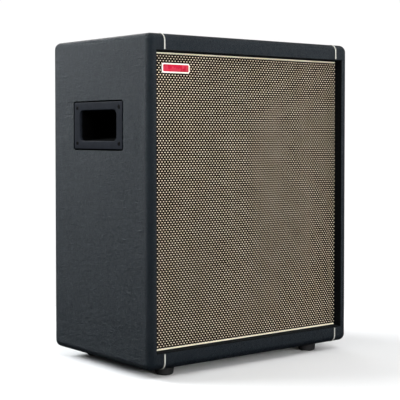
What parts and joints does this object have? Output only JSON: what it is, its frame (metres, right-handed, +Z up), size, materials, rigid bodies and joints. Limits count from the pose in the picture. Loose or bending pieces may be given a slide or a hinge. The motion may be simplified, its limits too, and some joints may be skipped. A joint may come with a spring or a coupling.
{
  "type": "guitar amplifier cabinet",
  "caption": "Tall powered guitar speaker cabinet, vinyl covered, with a recessed woven grille, side pocket handles, rubber feet and a rear amplifier panel.",
  "frame": {"origin": "on the floor, under the middle of the box", "axes": "+X to the right seen from the front, +Y to the rear (the grille faces -Y), +Z up"},
  "size_m": [0.434, 0.2792, 0.5366],
  "materials": {
    "plywood": "bare birch plywood",
    "vinyl": "pebble-grained charcoal navy vinyl",
    "piping": "greyish cream seam piping",
    "baffle_wood": "black painted board",
    "black_screws": "black oxide",
    "grille_cloth": "dark brown cloth woven with staggered cream dashes",
    "edge_strip": "cream cord edging",
    "hook_pads": "hook and loop pile",
    "badge_rim": "cream enamel",
    "badge_field": "red enamel, bare of lettering",
    "handle_plastic": "moulded blue-black plastic",
    "rubber": "black rubber",
    "zinc_screws": "zinc plated",
    "basket_steel": "black powder coat",
    "gasket": "black foam",
    "surround": "treated cloth roll",
    "spider_cloth": "resin-stiffened cloth",
    "plated_steel": "zinc plated steel",
    "ferrite": "ferrite ceramic",
    "terminal_board": "phenolic strip",
    "paper_cone": "pressed paper",
    "coil_copper": "enamelled copper",
    "horn_plastic": "black moulded plastic",
    "driver_metal": "black painted steel",
    "diaphragm": "amber film dome",
    "painted_rear": "black textured paint",
    "amp_plate": "black powder-coated aluminium",
    "cover_steel": "galvanised sheet",
    "heatsink_aluminium": "black anodised",
    "circuit_board": "green solder mask",
    "brass_standoffs": "brass",
    "pot_metal": "plated steel",
    "knob_plastic": "black knob with a pale pointer",
    "button_plastic": "ivory button",
    "socket_plastic": "black nylon",
    "rocker_plastic": "black rocker",
    "light_lens": "red lens",
    "lead_insulation": "black PVC"
  },
  "bodies": {
    "cabinet": {"side_panel_left": "plywood", "side_panel_right": "plywood", "top_panel": "plywood", "bottom_panel": "plywood", "front_rails": "plywood", "mounting_cleats": "plywood", "vinyl_covering": "vinyl", "corner_piping": "piping", "baffle_board": "baffle_wood", "baffle_screws": "black_screws", "grille_stiles": "baffle_wood", "grille_rails": "baffle_wood", "grille_cloth": "grille_cloth", "grille_edge_strips": "edge_strip", "grille_pads": "hook_pads", "badge_bezel": "badge_rim", "badge_inlay": "badge_field", "handle_left": "handle_plastic", "handle_right": "handle_plastic", "handle_screws": "black_screws", "rubber_feet": "rubber", "foot_screws": "zinc_screws", "woofer_basket": "basket_steel", "woofer_gasket": "gasket", "woofer_surround": "surround", "woofer_spider": "spider_cloth", "woofer_top_plate": "plated_steel", "woofer_magnet": "ferrite", "woofer_yoke": "plated_steel", "woofer_terminals": "terminal_board", "woofer_fixings": "zinc_screws", "horn_flare": "horn_plastic", "horn_driver": "driver_metal", "horn_screws": "black_screws", "port_tubes": "horn_plastic", "rear_panel": "painted_rear", "rear_panel_screws": "black_screws", "amp_plate": "amp_plate", "amp_plate_screws": "black_screws", "amp_cover": "cover_steel", "heatsink": "heatsink_aluminium", "amplifier_board": "circuit_board", "power_supply_board": "circuit_board", "board_standoffs": "brass_standoffs", "control_housings": "pot_metal", "jack_sockets": "socket_plastic", "mains_inlet": "socket_plastic", "power_switch_housing": "socket_plastic", "status_light": "light_lens", "speaker_leads": "lead_insulation"},
    "woofer_cone_assembly": {"woofer_cone": "paper_cone", "woofer_dust_cap": "paper_cone", "woofer_voice_coil": "coil_copper"},
    "horn_diaphragm": {"horn_diaphragm": "diaphragm"},
    "volume_control": {"volume_knob": "knob_plastic"},
    "bass_control": {"bass_knob": "knob_plastic"},
    "treble_control": {"treble_knob": "knob_plastic"},
    "voicing_selector": {"voicing_knob": "knob_plastic"},
    "ground_lift": {"ground_lift_button": "button_plastic"},
    "power_rocker": {"power_rocker": "rocker_plastic"}
  },
  "joints": [
    {"name": "cone_stroke", "type": "slide", "parent": "cabinet", "child": "woofer_cone_assembly", "axis": [0, 1, 0], "range_m": [-0.004, 0.004], "stiffness_N_per_m": 3000, "deforming": ["woofer_surround", "woofer_spider"]},
    {"name": "diaphragm_stroke", "type": "slide", "parent": "cabinet", "child": "horn_diaphragm", "axis": [0, 1, 0], "range_m": [-0.0002, 0.0002], "stiffness_N_per_m": 4000},
    {"name": "volume_turn", "type": "hinge", "parent": "cabinet", "child": "volume_control", "pos_m": [0.10325, 0.1207, 0.44], "axis": [0, 1, 0], "range_deg": [-150, 150]},
    {"name": "bass_turn", "type": "hinge", "parent": "cabinet", "child": "bass_control", "pos_m": [0.06825, 0.1207, 0.44], "axis": [0, 1, 0], "range_deg": [-150, 150]},
    {"name": "treble_turn", "type": "hinge", "parent": "cabinet", "child": "treble_control", "pos_m": [0.03325, 0.1207, 0.44], "axis": [0, 1, 0], "range_deg": [-150, 150]},
    {"name": "voicing_turn", "type": "hinge", "parent": "cabinet", "child": "voicing_selector", "pos_m": [-0.00175, 0.1207, 0.44], "axis": [0, 1, 0], "range_deg": [-90, 0]},
    {"name": "ground_lift_push", "type": "slide", "parent": "cabinet", "child": "ground_lift", "axis": [0, -1, 0], "range_m": [0, 0.002], "stiffness_N_per_m": 600, "springref_m": -0.0005},
    {"name": "power_switch", "type": "hinge", "parent": "cabinet", "child": "power_rocker", "pos_m": [-0.05, 0.1212, 0.362], "axis": [1, 0, 0], "range_deg": [0, 16]}
  ]
}
